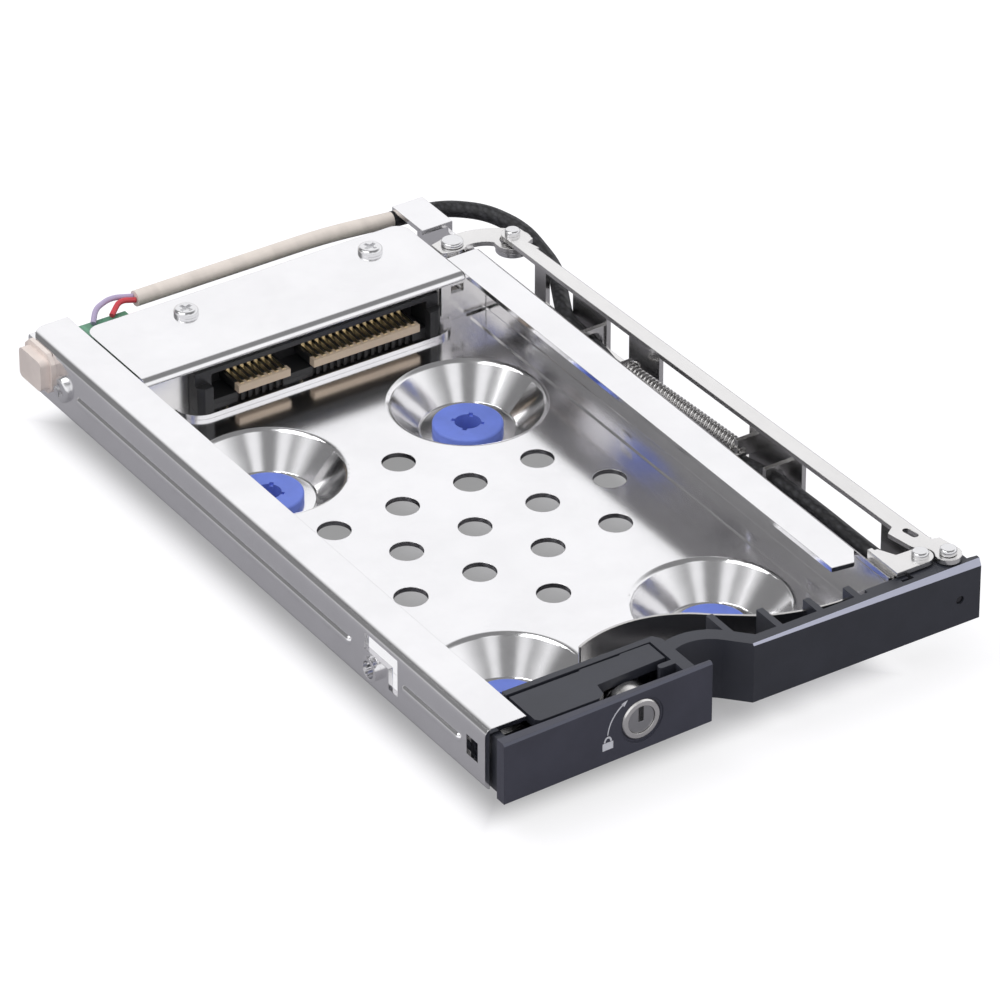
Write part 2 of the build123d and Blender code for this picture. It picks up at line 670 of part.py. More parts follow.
def rivet_head(x, y, z, radius, height):
    head = rod(x, y, z, z + height, radius)
    return fillet(head.edges().sort_by(Axis.Z)[-1:], height * 0.45)


def hinge_pin():
    low = door_bottom - running_gap - sheet
    shank = rod(hinge_x, hinge_y, low, hinge_plate_top, hinge_pin_radius)
    return shank + rivet_head(hinge_x, hinge_y, hinge_plate_top, rivet_head_radius, 0.9) + rod(
        hinge_x, hinge_y, low - 0.6, low, rivet_head_radius)


def link_pin():
    shank = rod(link_x, link_y, door_top - 4.0, hinge_plate_top + 0.1, 0.9)
    return shank + rivet_head(link_x, link_y, hinge_plate_top + 0.1, rivet_head_radius, 0.9)


def web_x(y):
    return hinge_x + 4.4 - (y + 49.5) * 3.3 / 102.7


def link_bar():
    z0 = hinge_plate_bottom
    z1 = hinge_plate_top
    outline = [
        (rear_rivet_x - 1.75, rear_rivet_y), (hinge_x - 1.5, 41.9), (hinge_x + 1.0, -44.4), (hinge_x - 0.5, -45.5),
        (hinge_x + 0.3, -50.0),
        (link_x - 1.9, link_y + 0.9), (link_x, link_y - 2.1), (link_x + 2.1, link_y), (link_x + 1.4, -50.6),
        (web_x(-50.2) - 0.5, -50.2), (web_x(-49.7), -49.7), (web_x(51.5), 51.5), (web_x(53.7) - 0.5, 53.8),
        (rear_rivet_x + 1.85, 54.4), (rear_rivet_x + 1.85, rear_rivet_y)]
    flat = prism(outline, z0, z1) + rod(link_x, link_y, z0, z1, 2.1) + rod(rear_rivet_x, rear_rivet_y, z0, z1, 1.85)
    flat -= rod(hinge_x, hinge_y, z0 - 1, z1 + 1, 2.0 + running_gap - 0.05)
    low = floor_top + 0.5
    y0 = -49.7
    y1 = 51.5
    web = prism([(web_x(y0) - sheet, y0), (web_x(y0), y0), (web_x(y1), y1), (web_x(y1) - sheet, y1)], low, z1)
    for a, b in ((41.1, 48.5), (26.0, 32.0), (-5.5, 18.0), (-38.7, -18.9)):
        web -= box(hinge_x - 2, hinge_x + 8, a, b, floor_top + 1.6, floor_top + 8.2)
    body = flat + web
    # Round the fold between the plate and the web
    fold = 0.7
    length = math.hypot(web_x(y1) - web_x(y0), y1 - y0)
    turn = math.degrees(math.atan2(web_x(y0) - web_x(y1), y1 - y0))
    corner = box(-fold, fold, 0, length, -fold, fold) - rod_y(-fold, -1, length + 1, -fold, fold)
    body -= Pos(web_x(y0), y0, z1) * Rot(0, 0, turn) * corner
    # Cable lugs, lanced inwards from the web
    for y in (32.4, -15.6):
        x = web_x(y) - sheet
        lug = box(x - 4.3, x + 0.2, y, y + sheet, light_z - 2.6, light_z + 2.6)
        lug -= rod_y(x - 2.3, y - 1, y + 2, light_z, sleeve_radius + 0.5)
        lug -= box(x - 5, x - 2.3, y - 1, y + 2, light_z - 0.9, light_z + 0.9)
        body += lug
    # Spring lug
    x = web_x(-7.0) - sheet
    lug = box(x - 3.7, x + 0.2, front_lug_y - sheet, front_lug_y, floor_top + 3.9, floor_top + 7.0)
    lug -= rod_y(x - 2.7, front_lug_y - 2, front_lug_y + 1, floor_top + 5.0, lug_hole_radius)
    body += lug
    body -= slot_hole(hinge_x + 2.4, -47.2, z0 - 1, z1 + 1, 2.9, 1.2, 100)
    body -= rod(link_x, link_y, z0 - 1, z1 + 1, 0.9 + pin_gap)
    body -= rod(rear_rivet_x, rear_rivet_y, z0 - 1, z1 + 1, 1.0)
    return body


def rear_link_rivet():
    x = rear_rivet_x
    y = rear_rivet_y
    shank = rod(x, y, lever_bottom - running_gap - 0.8, hinge_plate_top, 1.0)
    foot = rod(x, y, lever_bottom - running_gap - 0.8, lever_bottom - running_gap, 1.0 + lever_play + 0.7)
    return shank + foot + rivet_head(x, y, hinge_plate_top, 1.25, 0.8)


def ejector_lever():
    z0 = lever_bottom
    z1 = lever_top
    px = lever_pivot_x
    py = lever_pivot_y
    ex = rear_rivet_x
    ey = rear_rivet_y
    with BuildPart() as part:
        with BuildSketch():
            with BuildLine():
                ThreePointArc((px + 0.6, py + 2.2), (px + 5.2, py + 1.9), (ex + 2.2, ey + 2.2))
                Line((ex + 2.2, ey + 2.2), (ex - 1.6, ey - 2.6))
                ThreePointArc((ex - 1.6, ey - 2.6), (px + 4.4, py - 2.0), (px, py - 2.2))
                Line((px, py - 2.2), (px + 0.6, py + 2.2))
            make_face()
        extrude(amount=z1 - z0)
    arm = Pos(0, 0, z0) * part.part
    arm += rod(ex, ey, z0, z1, 1.0 + lever_play + 1.0)
    arm += rod(px, py, z0, z1, 2.3)
    # The inner arm steps down below the cover and ends in the tab that pushes the drive
    z2 = inner_arm_bottom
    arm += prism([(px, py + 2.3), (px - 2.9, py + 1.6), (px - 2.9, py - 1.5), (px - 1.0, py - 2.2)], z0, z1)
    arm += prism([(px - 2.1, py + 1.6), (px - 2.9, py + 1.3), (px - 2.9, py - 1.5), (px - 2.1, py - 1.9)], z2, z1)
    arm += prism([(px - 2.2, py + 1.5), (px - 5.2, py + 0.4), (px - 7.0, 57.2), (px - 7.0, 53.7), (px - 5.2, 53.7), (px - 5.2, 56.4),
                  (px - 2.2, py - 2.6)], z2, z2 + sheet)
    arm += box(px - 7.0, px - 5.2, 53.7, 53.7 + sheet, floor_top + 2.4, z2 + sheet)
    arm -= rod(px, py, z0 - 1, z1 + 1, 1.2 + pin_gap)
    arm -= rod(ex, ey, z0 - 1, z1 + 1, 1.0 + lever_play)
    return arm


def lever_rivet():
    x = lever_pivot_x
    y = lever_pivot_y
    shank = rod(x, y, ear_top - sheet - 0.5, lever_top + 0.1, 1.2)
    foot = rod(x, y, ear_top - sheet - 0.5, ear_top - sheet, 1.8)
    return shank + foot + rivet_head(x, y, lever_top + 0.1, 1.8, 0.7)


def return_spring():
    x0 = web_x(-7.0) - sheet - 2.7
    x1 = tray_right + 3.6
    front_ring_y = front_lug_y - sheet / 2
    rear_ring_y = rear_lug_y + sheet / 2
    y0 = front_ring_y + coil_radius - 0.25
    y1 = rear_ring_y - coil_radius + 0.25
    z = floor_top + 5.0
    length = math.hypot(x1 - x0, y1 - y0)
    direction = Vector(x1 - x0, y1 - y0, 0).normalized()
    coil = Helix(pitch=length / spring_turns, height=length, radius=coil_radius)
    frame = Plane(origin=coil @ 0, z_dir=coil % 0)
    body = sweep(frame * Circle(spring_wire), path=coil, is_frenet=True)
    base = Plane(origin=(x0, y0, z), z_dir=direction)
    body = base.location * body
    # Open loops that hook through the lugs, flat and joined to the end coils
    for x, y in ((x0 - coil_radius, front_ring_y), (x1 + coil_radius, rear_ring_y)):
        body += Pos(x, y, z) * Torus(coil_radius, spring_wire)
    return body


def main():
    os.makedirs("parts", exist_ok=True)
    save(tray(), "tray")
    for k, (x, y) in enumerate(grommet_places()):
        save(grommet(x, y), "grommet_" + str(k + 1))
    save(backplane_bracket(), "backplane_bracket")
    save(connector_shelf(), "connector_shelf")
    save(receptacle(), "receptacle")
    for name, (left, width, count) in zip(("signal", "power"), tongue_spans()):
        save(tongue(left, width), name + "_tongue")
        save(contacts(left, width, count), name + "_contacts")
    save(board(), "backplane_board")
    save(cover_posts(), "cover_posts")
    save(cover(), "backplane_cover")
    save(cover_screws(), "cover_screws")
    save(side_screw(), "side_screw")
    save(side_bumper(), "side_bumper")
    save(rear_plug(-10.2, 11.0), "rear_data_plug")
    save(rear_plug(2.4, 16.2), "rear_power_plug")
    save(door(), "door")
    save(lock_plate(), "lock_plate")
    save(latch_cover(), "latch_cover")
    save(latch_bolt(), "latch_bolt")
    save(lock_barrel(), "lock_barrel")
    save(lock_core(), "lock_core")
    save(light_pipe(), "light_pipe")
    save(pressure_leaf(), "pressure_leaf")
    save(hinge_bracket(), "hinge_bracket")
    save(hinge_pin(), "hinge_pin")
    save(link_pin(), "link_pin")
    save(link_bar(), "link_bar")
    save(rear_link_rivet(), "rear_link_rivet")
    save(ejector_lever(), "ejector_lever")
    save(lever_rivet(), "lever_rivet")
    save(return_spring(), "return_spring")
    wire("wire_bundle", [(-17.0, 75.0, 16.4), (18.0, 75.0, 16.4), (tray_right - 6.0, 75.0, 15.2)], bundle_radius)
    wire("wire_lavender", [(-17.12, 75.5, 16.6), (-20.8, 76.1, 17.3), (-24.4, 74.6, 17.2), (-26.0, 72.6, board_top + 0.42)], 0.45)
    wire("wire_red", [(-17.14, 74.6, 16.4), (-19.8, 75.0, 17.0), (-22.4, 73.0, board_top + 0.43)], 0.45)
    wire("cable_sleeve", [
        (tray_right - 6.0, 75.0, 15.2), (tray_right - 2.0, 74.8, 15.1), (hinge_x - 2.2, 73.4, 15.1),
        (hinge_x + 2.4, 69.0, 15.1), (hinge_x + 4.8, 61.5, 14.8), (hinge_x + 4.4, 51.5, 12.6),
        (hinge_x + 0.8, 44.6, 11.9), (hinge_x - 1.6, 39.6, 11.2), (hinge_x - 1.35, 32.8, light_z),
        (hinge_x - 1.5, 24.0, 8.6), (hinge_x - 1.0, 8.0, 8.6), (hinge_x - 0.5, -4.0, 8.7),
        (hinge_x + 0.2, -15.2, light_z), (hinge_x + 0.4, -26.0, 10.8), (hinge_x + 0.5, -36.0, 10.6),
        (hinge_x + 0.7, -45.4, light_z)], sleeve_radius)
    wire("light_lead", [(hinge_x + 0.7, -45.4, light_z), (hinge_x + 0.9, -48.0, light_z), (hinge_x + 4.4, -52.2, light_z),
                        (light_x, -55.15, light_z)], lead_radius)


main()
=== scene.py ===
import bpy
import json
import math
from mathutils import Matrix, Vector


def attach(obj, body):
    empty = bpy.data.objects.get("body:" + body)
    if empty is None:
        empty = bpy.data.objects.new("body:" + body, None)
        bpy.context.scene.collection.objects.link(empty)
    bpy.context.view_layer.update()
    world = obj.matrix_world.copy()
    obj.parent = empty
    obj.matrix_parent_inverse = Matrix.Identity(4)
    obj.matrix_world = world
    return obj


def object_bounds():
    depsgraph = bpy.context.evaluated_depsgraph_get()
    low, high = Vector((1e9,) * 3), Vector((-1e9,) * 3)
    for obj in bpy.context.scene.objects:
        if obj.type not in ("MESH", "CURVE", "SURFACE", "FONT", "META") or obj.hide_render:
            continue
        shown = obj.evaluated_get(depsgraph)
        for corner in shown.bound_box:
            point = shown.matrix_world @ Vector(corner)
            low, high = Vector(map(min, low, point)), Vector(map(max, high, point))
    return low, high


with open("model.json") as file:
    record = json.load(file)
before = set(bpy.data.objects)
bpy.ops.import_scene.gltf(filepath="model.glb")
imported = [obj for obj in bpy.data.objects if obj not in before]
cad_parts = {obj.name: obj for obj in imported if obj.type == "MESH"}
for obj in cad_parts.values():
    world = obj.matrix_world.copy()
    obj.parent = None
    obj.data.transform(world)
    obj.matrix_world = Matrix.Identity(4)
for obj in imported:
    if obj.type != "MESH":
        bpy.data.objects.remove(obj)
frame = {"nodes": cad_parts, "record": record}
cad_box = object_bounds()
MM = 0.001


# Camera fitted to the photograph's vent grid, walls and cover
CAMERA_PLACE = (-0.5223588, -0.8040178, 0.6391913)
CAMERA_RIGHT = (0.837435, -0.546537, 0.0)
CAMERA_UP = (0.298638, 0.45759, 0.837512)
CAMERA_AHEAD = (0.457732, 0.701362, -0.546418)
LENS_MM = 272.98


def add_camera():
    """Camera of the photograph, its sensor 36 mm wide."""
    data = bpy.data.cameras.new("camera")
    data.sensor_fit = "HORIZONTAL"
    data.sensor_width = 36.0
    data.lens = LENS_MM
    data.clip_start = 0.01
    data.clip_end = 20.0
    cam = bpy.data.objects.new("camera", data)
    bpy.context.scene.collection.objects.link(cam)
    rows = Matrix((CAMERA_RIGHT, CAMERA_UP, [-v for v in CAMERA_AHEAD])).transposed()
    cam.matrix_world = Matrix.Translation(Vector(CAMERA_PLACE)) @ rows.to_4x4()
    bpy.context.scene.camera = cam


class Tree:
    """Short calls for building one material's or world's nodes."""

    def __init__(self, name, world=False):
        kind = bpy.data.worlds if world else bpy.data.materials
        self.mat = kind.new(name)
        self.mat.use_nodes = True
        self.nodes = self.mat.node_tree.nodes
        self.links = self.mat.node_tree.links
        self.bsdf = self.nodes.get("Principled BSDF")
        self.coordinates = None

    def put(self, node, key, value):
        if isinstance(value, bpy.types.NodeSocket):
            self.links.new(value, node.inputs[key])
        else:
            node.inputs[key].default_value = value

    def where(self, output="Object"):
        if self.coordinates is None:
            self.coordinates = self.nodes.new("ShaderNodeTexCoord")
        return self.coordinates.outputs[output]

    def stretched(self, scale):
        node = self.nodes.new("ShaderNodeMapping")
        self.put(node, "Vector", self.where())
        node.inputs["Scale"].default_value = scale
        return node.outputs["Vector"]

    def noise(self, scale, detail=3.0, roughness=0.5, stretch=None):
        node = self.nodes.new("ShaderNodeTexNoise")
        self.put(node, "Vector", self.stretched(stretch) if stretch else self.where())
        node.inputs["Scale"].default_value = scale
        node.inputs["Detail"].default_value = detail
        node.inputs["Roughness"].default_value = roughness
        return node.outputs["Fac"]

    def cells(self, scale, stretch=None):
        node = self.nodes.new("ShaderNodeTexVoronoi")
        self.put(node, "Vector", self.stretched(stretch) if stretch else self.where())
        node.inputs["Scale"].default_value = scale
        return node.outputs["Distance"]

    def ramp(self, value, stops):
        node = self.nodes.new("ShaderNodeValToRGB")
        self.links.new(value, node.inputs["Fac"])
        band = node.color_ramp
        band.elements[0].position = stops[0][0]
        band.elements[0].color = colour(stops[0][1])
        band.elements[1].position = stops[-1][0]
        band.elements[1].color = colour(stops[-1][1])
        for at, tone in stops[1:-1]:
            band.elements.new(at).color = colour(tone)
        return node.outputs["Color"]

    def span(self, value, low, high, start=0.0, end=1.0, smooth=False):
        node = self.nodes.new("ShaderNodeMapRange")
        node.interpolation_type = "SMOOTHSTEP" if smooth else "LINEAR"
        self.put(node, "Value", value)
        node.inputs["From Min"].default_value = start
        node.inputs["From Max"].default_value = end
        node.inputs["To Min"].default_value = low
        node.inputs["To Max"].default_value = high
        return node.outputs["Result"]

    def sum(self, operation, a, b=0.0):
        node = self.nodes.new("ShaderNodeMath")
        node.operation = operation
        self.put(node, 0, a)
        self.put(node, 1, b)
        return node.outputs[0]

    def part(self, vector, axis):
        node = self.nodes.new("ShaderNodeSeparateXYZ")
        self.links.new(vector, node.inputs[0])
        return node.outputs[axis]

    def along(self, vector, way):
        node = self.nodes.new("ShaderNodeVectorMath")
        node.operation = "DOT_PRODUCT"
        self.links.new(vector, node.inputs[0])
        node.inputs[1].default_value = way
        return node.outputs["Value"]

    def blend(self, share, first, second):
        node = self.nodes.new("ShaderNodeMix")
        node.data_type = "RGBA"
        self.put(node, 0, share)
        self.put(node, 6, first)
        self.put(node, 7, second)
        return node.outputs[2]

    def bump(self, height, strength, distance, under=None):
        node = self.nodes.new("ShaderNodeBump")
        self.links.new(height, node.inputs["Height"])
        node.inputs["Strength"].default_value = strength
        node.inputs["Distance"].default_value = distance
        if under is not None:
            self.links.new(under, node.inputs["Normal"])
        return node.outputs["Normal"]

    def rounded(self, radius):
        node = self.nodes.new("ShaderNodeBevel")
        node.samples = 4
        node.inputs["Radius"].default_value = radius
        return node.outputs["Normal"]


def colour(tone):
    if isinstance(tone, (int, float)):
        return (tone, tone, tone, 1.0)
    return (tone[0], tone[1], tone[2], 1.0)


def srgb(r, g, b):
    def line(v):
        v = v / 255.0
        return v / 12.92 if v <= 0.04045 else ((v + 0.055) / 1.055) ** 2.4
    return (line(r), line(g), line(b))


def metal(name, tone, rough, brush=None, mottling=0.05, edge=0.12, wave=0.1):
    """Sheet or turned metal with soft waves, fine grain and rounded edges."""
    t = Tree(name)
    t.bsdf.inputs["Metallic"].default_value = 1.0
    soft = t.noise(90.0, 4.0, 0.6)
    low = [v * (1.0 - mottling) for v in tone]
    t.put(t.bsdf, "Base Color", t.ramp(soft, [(0.35, low), (0.65, tone)]))
    grain = t.noise(900.0, 4.0, 0.65, brush) if brush else t.noise(1400.0, 3.0, 0.6)
    t.put(t.bsdf, "Roughness", t.span(grain, rough * 0.8, rough * 1.25))
    sheet_wave = t.bump(t.noise(30.0, 1.0, 0.5), wave, 0.0004, t.rounded(edge * MM))
    t.put(t.bsdf, "Normal", t.bump(grain, 0.04, 0.00002, sheet_wave))
    return t.mat


def plastic(name, tone, rough, grain=2600.0, depth=0.00002, spread=0.1, edge=0.12):
    """Moulded plastic with a fine grain."""
    t = Tree(name)
    soft = t.noise(120.0, 4.0, 0.6)
    low = [v * (1.0 - spread) for v in tone]
    high = [v * (1.0 + spread) for v in tone]
    t.put(t.bsdf, "Base Color", t.ramp(soft, [(0.35, low), (0.65, high)]))
    fine = t.noise(grain, 2.0, 0.5)
    t.put(t.bsdf, "Roughness", t.span(soft, rough * 0.88, rough * 1.12))
    t.put(t.bsdf, "Normal", t.bump(fine, 0.35, depth, t.rounded(edge * MM)))
    return t.mat


def door_paint_with_painted_highlight(name, tone, rough, painted_highlight):
    """Black paint with a painted highlight line along the bevelled top front edge, standing in for the
    reflection on the bevel.
    """
    t = Tree(name)
    # Faces that look both to the front and up, the bevel, take the painted highlight colour
    facing = t.where("Normal")
    front = t.sum("LESS_THAN", t.part(facing, "Y"), -0.25)
    above = t.sum("GREATER_THAN", t.part(facing, "Z"), 0.25)
    line = t.sum("MULTIPLY", front, above)
    soft = t.noise(120.0, 4.0, 0.6)
    low = [v * 0.9 for v in tone]
    high = [v * 1.1 for v in tone]
    base = t.ramp(soft, [(0.35, low), (0.65, high)])
    t.put(t.bsdf, "Base Color", t.blend(line, base, colour(painted_highlight)))
    t.put(t.bsdf, "Roughness", t.span(soft, rough * 0.88, rough * 1.12))
    fine = t.noise(2600.0, 2.0, 0.5)
    t.put(t.bsdf, "Normal", t.bump(fine, 0.3, 0.00002, t.rounded(0.1 * MM)))
    return t.mat


def braid(name, tone, rough):
    """Woven sleeve: crossing strands as a fine bump and a light and dark pattern."""
    t = Tree(name)
    strands = t.cells(1500.0, (1.0, 0.55, 1.0))
    light = [v * 1.9 for v in tone]
    dark = [v * 0.55 for v in tone]
    t.put(t.bsdf, "Base Color", t.ramp(strands, [(0.1, light), (0.6, dark)]))
    t.bsdf.inputs["Roughness"].default_value = rough
    t.put(t.bsdf, "Normal", t.bump(strands, 0.9, 0.00012))
    return t.mat


def wrapped(name, tone, rough):
    """Film wrapped round a bundle of wires: soft rings and lengthwise ridges."""
    t = Tree(name)
    rings = t.noise(420.0, 2.0, 0.5, (1.0, 0.12, 0.12))
    ridges = t.noise(700.0, 2.0, 0.5, (0.08, 1.0, 1.0))
    both = t.sum("ADD", rings, t.sum("MULTIPLY", ridges, 0.6))
    low = [v * 0.86 for v in tone]
    t.put(t.bsdf, "Base Color", t.ramp(both, [(0.6, low), (0.95, tone)]))
    t.put(t.bsdf, "Roughness", t.span(rings, rough * 0.8, rough * 1.2))
    t.put(t.bsdf, "Normal", t.bump(both, 0.5, 0.0002))
    return t.mat


def circuit(name, tone, rough):
    """Solder mask with copper traces just under it and fibre grain."""
    t = Tree(name)
    traces = t.cells(420.0, (1.0, 0.3, 1.0))
    light = [v * 1.35 for v in tone]
    t.put(t.bsdf, "Base Color", t.ramp(traces, [(0.08, light), (0.2, tone)]))
    t.bsdf.inputs["Roughness"].default_value = rough
    t.put(t.bsdf, "Normal", t.bump(traces, 0.2, 0.00003, t.rounded(0.08 * MM)))
    return t.mat


# Where the light front strip of the connector's tongues ends, mm
TONGUE_TIP_END = 53.3


def tipped(name, tone, rear_tone, rough):
    """Plastic whose front strip is light and whose rear is dark."""
    t = Tree(name)
    front = t.sum("LESS_THAN", t.part(t.where(), "Y"), TONGUE_TIP_END * MM)
    soft = t.noise(120.0, 4.0, 0.6)
    light = t.ramp(soft, [(0.35, [v * 0.9 for v in tone]), (0.65, tone)])
    t.put(t.bsdf, "Base Color", t.blend(front, colour(rear_tone), light))
    t.bsdf.inputs["Roughness"].default_value = rough
    t.put(t.bsdf, "Normal", t.bump(t.noise(2600.0, 2.0, 0.5), 0.35, 0.00002, t.rounded(0.12 * MM)))
    return t.mat


MATERIALS = {
    "bright_steel": metal("bright_steel", (0.9, 0.895, 0.905), 0.15),
    "satin_steel": metal("satin_steel", (0.84, 0.83, 0.82), 0.24, (1.0, 0.25, 1.0)),
    "spring_steel": metal("spring_steel", (0.62, 0.61, 0.6), 0.22),
    "screw_steel": metal("screw_steel", (0.82, 0.82, 0.83), 0.2),
    "lock_metal": metal("lock_metal", (0.8, 0.785, 0.77), 0.22),
    # The last colour of black_plastic and black_paint is the painted highlight on their bevelled top
    # front edge
    "black_plastic": door_paint_with_painted_highlight("black_plastic", srgb(54, 56, 65), 0.42, srgb(205, 208, 228)),
    "black_paint": door_paint_with_painted_highlight("black_paint", srgb(66, 67, 80), 0.4, srgb(88, 90, 104)),
    "dark_plastic": plastic("dark_plastic", srgb(46, 46, 48), 0.4),
    "nylon": plastic("nylon", srgb(240, 228, 222), 0.38),
    "board_green": circuit("board_green", srgb(94, 148, 120), 0.3),
    "blue_rubber": plastic("blue_rubber", srgb(114, 136, 228), 0.5),
    "contact_gold": metal("contact_gold", (0.93, 0.8, 0.56), 0.32),
    "clear_plastic": plastic("clear_plastic", srgb(36, 36, 42), 0.15),
    "cable_black": braid("cable_black", srgb(40, 40, 44), 0.5),
    "cable_beige": wrapped("cable_beige", srgb(240, 230, 222), 0.5),
    "wire_red": plastic("wire_red", srgb(216, 74, 84), 0.35),
    "wire_lavender": plastic("wire_lavender", srgb(192, 178, 212), 0.35),
    "tongue_cream": tipped("tongue_cream", srgb(226, 205, 182), srgb(46, 46, 48), 0.35),
    # Darker steel tone for the lock core: painted shade of a recessed core
    "shaded_core_steel": metal("shaded_core_steel", (0.46, 0.46, 0.47), 0.3),
    "icon_white": plastic("icon_white", srgb(235, 236, 244), 0.5),
}


# Nodes whose material differs from their slot's; the lock core's darker tone is painted shade of a
# recessed core
FINISH = {"signal_tongue": "tongue_cream", "power_tongue": "tongue_cream", "lock_core": "shaded_core_steel"}


def dress_nodes():
    slots = {row["node"]: row["material_slot"] for row in frame["record"]["subparts"]}
    for name, obj in frame["nodes"].items():
        mat = MATERIALS[FINISH.get(name, slots[name])]
        if not obj.data.materials:
            obj.data.materials.append(mat)
        for place in obj.material_slots:
            place.material = mat


# Printed signs on the lock plate: a padlock and an arc arrow
PLATE_LEFT, PLATE_RIGHT, PLATE_FRONT, PLATE_TAPER = -35.5, 1.5, -59.1, 1.1
LOCK_X, LOCK_Z = -11.1, 11.4


def plate_y(x):
    return PLATE_FRONT + PLATE_TAPER * (x - PLATE_LEFT) / (PLATE_RIGHT - PLATE_LEFT)


def printed(name, ring):
    """Thin print on the plate from one closed outline of (x, z) pairs, mm."""
    outline = bpy.data.curves.new(name, "CURVE")
    outline.dimensions = "2D"
    outline.fill_mode = "BOTH"
    outline.extrude = 0.015
    spline = outline.splines.new("POLY")
    spline.points.add(len(ring) - 1)
    for point, (x, z) in zip(spline.points, ring):
        point.co = (x, z, 0.0, 1.0)
    spline.use_cyclic_u = True
    shaper = bpy.data.objects.new(name + "_shaper", outline)
    bpy.context.scene.collection.objects.link(shaper)
    mesh = bpy.data.meshes.new_from_object(shaper)
    bpy.data.objects.remove(shaper)
    for v in mesh.vertices:
        x, z, lift = v.co
        v.co = (x * MM, (plate_y(x) - 0.02 - lift) * MM, z * MM)
    mesh.name = name
    obj = bpy.data.objects.new(name, mesh)
    bpy.context.scene.collection.objects.link(obj)
    obj.data.materials.append(MATERIALS["icon_white"])
    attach(obj, "door")
    return obj


def add_signs():
    cx, cz = -17.2, 9.3
    left, right, low, high = cx - 0.95, cx + 0.95, cz - 0.75, cz + 0.55
    body = [(left, low), (right, low), (right, high), (left, high)]
    foot = cz + 0.62
    shackle = [(cx + 0.72 * math.cos(a), foot + 0.95 * math.sin(a)) for a in arc(0.0, 180.0, 14)]
    shackle += [(cx + 0.42 * math.cos(a), foot + 0.62 * math.sin(a)) for a in arc(180.0, 0.0, 14)]
    printed("sign_padlock_body", body)
    printed("sign_padlock_shackle", shackle)
    band = []
    for side in (1, -1):
        sweep = arc(183.0, 130.0, 20) if side == 1 else arc(130.0, 183.0, 20)
        for a in sweep:
            share = (math.pi * 183 / 180 - a) / math.radians(53.0)
            reach = 6.15 - 0.85 * share + side * (0.09 + 0.05 * share)
            band.append((LOCK_X + reach * math.cos(a), LOCK_Z + reach * math.sin(a)))
    printed("sign_arc", band)
    a = math.radians(127.0)
    tip = Vector((LOCK_X + 5.22 * math.cos(a), LOCK_Z + 5.22 * math.sin(a)))
    ahead = Vector((math.sin(a), -math.cos(a)))
    aside = Vector((math.cos(a), math.sin(a)))
    head = [tip + ahead * 0.65, tip - ahead * 0.45 + aside * 0.42, tip - ahead * 0.45 - aside * 0.42]
    printed("sign_arrow_head", [(v.x, v.y) for v in head])


def arc(start, end, steps):
    return [math.radians(start + (end - start) * k / (steps - 1)) for k in range(steps)]


# Floor: half size in metres, the part's footprint in mm, and the glow inside and outside it; the lower
# glow inside the footprint is a painted shadow under the part
FLOOR_HALF = 3.0
FOOT_HALF_X, FOOT_MIDDLE_Y, FOOT_HALF_Y = 34.5, 10.5, 64.0
PAINTED_SHADOW_GLOW, GLOW_OUTSIDE = 0.3, 0.74
GLOW_EDGE = 4.0


def studio():
    """Floor that is white to the camera and keeps the object's own soft shadow, with a painted shadow
    where its glow is lower inside the part's footprint.
    """
    mesh = bpy.data.meshes.new("floor")
    z = cad_box[0][2] - 0.00002
    half = FLOOR_HALF
    corners = [(-half, -half, z), (half, -half, z), (half, half, z), (-half, half, z)]
    mesh.from_pydata(corners, [], [(0, 1, 2, 3)])
    floor = bpy.data.objects.new("floor", mesh)
    bpy.context.scene.collection.objects.link(floor)
    t = Tree("floor")
    t.bsdf.inputs["Base Color"].default_value = (0.38, 0.375, 0.4, 1.0)
    t.bsdf.inputs["Roughness"].default_value = 0.9
    t.bsdf.inputs["Specular IOR Level"].default_value = 0.0
    path = t.nodes.new("ShaderNodeLightPath")
    glow = t.nodes.new("ShaderNodeEmission")
    here = t.where()
    across = t.sum("ABSOLUTE", t.part(here, "X"))
    deep = t.sum("ABSOLUTE", t.sum("SUBTRACT", t.part(here, "Y"), FOOT_MIDDLE_Y * MM))
    past_x = t.sum("SUBTRACT", across, FOOT_HALF_X * MM)
    past_y = t.sum("SUBTRACT", deep, FOOT_HALF_Y * MM)
    away = t.sum("MAXIMUM", past_x, past_y)
    # Inside the footprint the glow drops: a painted shadow under the part, seen through the vents
    lift = t.span(away, PAINTED_SHADOW_GLOW, GLOW_OUTSIDE, -GLOW_EDGE * MM, GLOW_EDGE * MM, smooth=True)
    t.put(glow, "Strength", t.sum("MULTIPLY", path.outputs["Is Camera Ray"], lift))
    both = t.nodes.new("ShaderNodeAddShader")
    t.links.new(t.bsdf.outputs[0], both.inputs[0])
    t.links.new(glow.outputs[0], both.inputs[1])
    t.links.new(both.outputs[0], t.nodes["Material Output"].inputs["Surface"])
    floor.data.materials.append(t.mat)


# What the bright metal reflects: direction, half angle inside and outside, then the depth of a
# dark side or the level of a soft box
DARK_SIDES = [((-0.458, 0.701, 0.546), 16.0, 38.0, 0.8)]
SOFT_BOXES = [
    ((-0.03, -0.545, 0.838), 5.0, 13.0, 0.95),
    ((-0.50, -0.22, 0.838), 5.0, 13.0, 0.95),
]


# World levels: mirrored by metal, and the even light on everything else
MIRROR_LEVEL = 1.08
EVEN_LEVEL = 0.72


def spot(t, way, aim, inner, outer, start, end):
    """Value that runs from start to end as a direction comes near aim."""
    near = t.along(way, Vector(aim).normalized())
    return t.span(near, start, end, math.cos(math.radians(outer)), math.cos(math.radians(inner)), True)


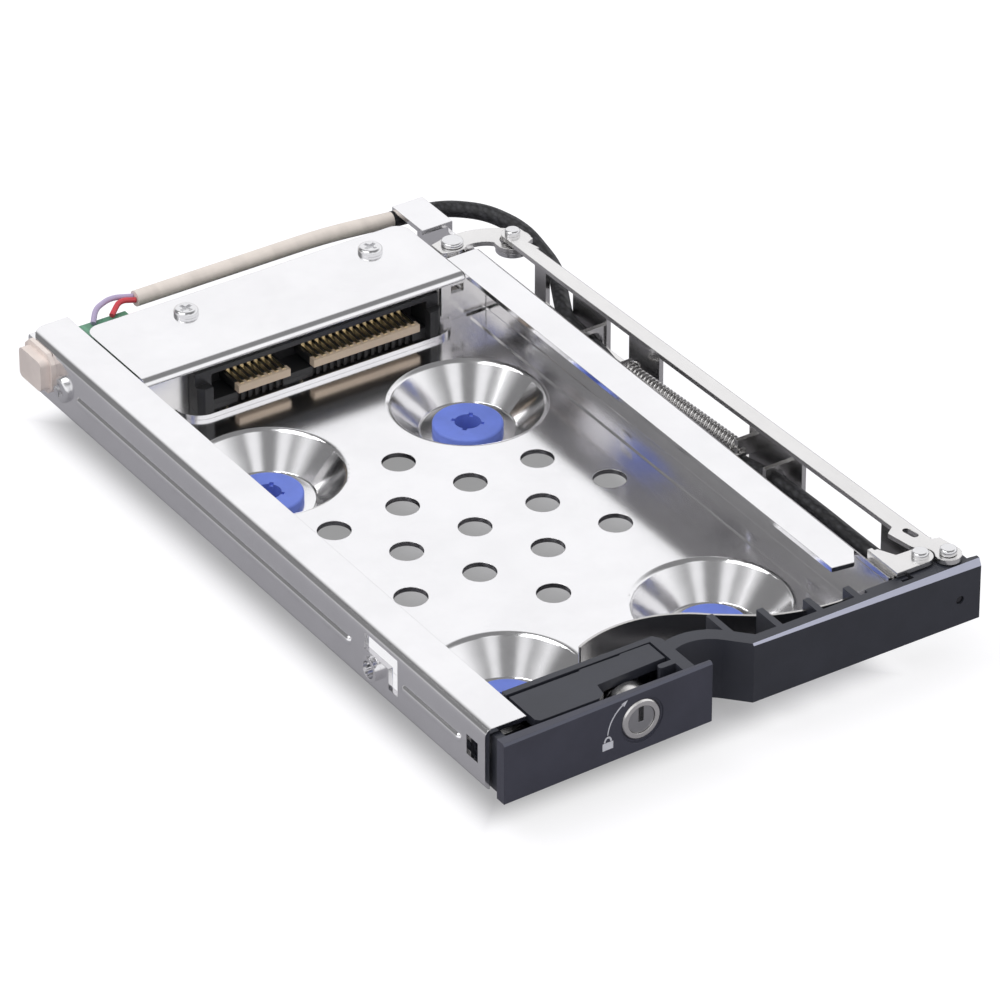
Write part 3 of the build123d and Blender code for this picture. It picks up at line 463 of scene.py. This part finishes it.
def surroundings():
    """World with one picture for mirrored rays, an even one for the rest and white for the camera."""
    t = Tree("studio", world=True)
    bpy.context.scene.world = t.mat
    way = t.where("Generated")
    height = t.part(way, "Z")
    horizon = t.span(height, 0.6, 1.0, -0.05, 0.25, True)
    ceiling = t.span(height, 1.0, 0.22, 0.6, 0.8, True)
    band = t.sum("MULTIPLY", horizon, ceiling)
    for aim, inner, outer, depth in DARK_SIDES:
        band = t.sum("MULTIPLY", band, spot(t, way, aim, inner, outer, 1.0, 1.0 - depth))
    for aim, inner, outer, level in SOFT_BOXES:
        band = t.sum("MAXIMUM", band, spot(t, way, aim, inner, outer, 0.0, level))
    path = t.nodes.new("ShaderNodeLightPath")
    mirrored = t.nodes["Background"]
    t.put(mirrored, "Strength", t.sum("MULTIPLY", band, MIRROR_LEVEL))
    mirrored.inputs["Color"].default_value = (0.985, 0.985, 1.0, 1.0)
    even = t.nodes.new("ShaderNodeBackground")
    even.inputs["Color"].default_value = (1.0, 1.0, 1.0, 1.0)
    even.inputs["Strength"].default_value = EVEN_LEVEL
    seen = t.nodes.new("ShaderNodeBackground")
    seen.inputs["Color"].default_value = (1.0, 1.0, 1.0, 1.0)
    first = t.nodes.new("ShaderNodeMixShader")
    t.links.new(path.outputs["Is Glossy Ray"], first.inputs[0])
    t.links.new(even.outputs[0], first.inputs[1])
    t.links.new(mirrored.outputs[0], first.inputs[2])
    second = t.nodes.new("ShaderNodeMixShader")
    t.links.new(path.outputs["Is Camera Ray"], second.inputs[0])
    t.links.new(first.outputs[0], second.inputs[1])
    t.links.new(seen.outputs[0], second.inputs[2])
    t.links.new(second.outputs[0], t.nodes["World Output"].inputs["Surface"])


def lamp(name, place, aim, size, power):
    data = bpy.data.lights.new(name, "AREA")
    data.shape = "RECTANGLE"
    data.size = size[0]
    data.size_y = size[1]
    data.energy = power
    obj = bpy.data.objects.new(name, data)
    bpy.context.scene.collection.objects.link(obj)
    obj.location = place
    way = Vector(aim) - Vector(place)
    obj.rotation_euler = way.to_track_quat("-Z", "Y").to_euler()
    return obj


add_camera()
dress_nodes()
add_signs()
studio()
surroundings()
bpy.context.scene.view_settings.view_transform = "Standard"
lamp("key", (-0.35, 0.25, 0.9), (0.0, 0.0, 0.0), (0.6, 0.6), 3.0)
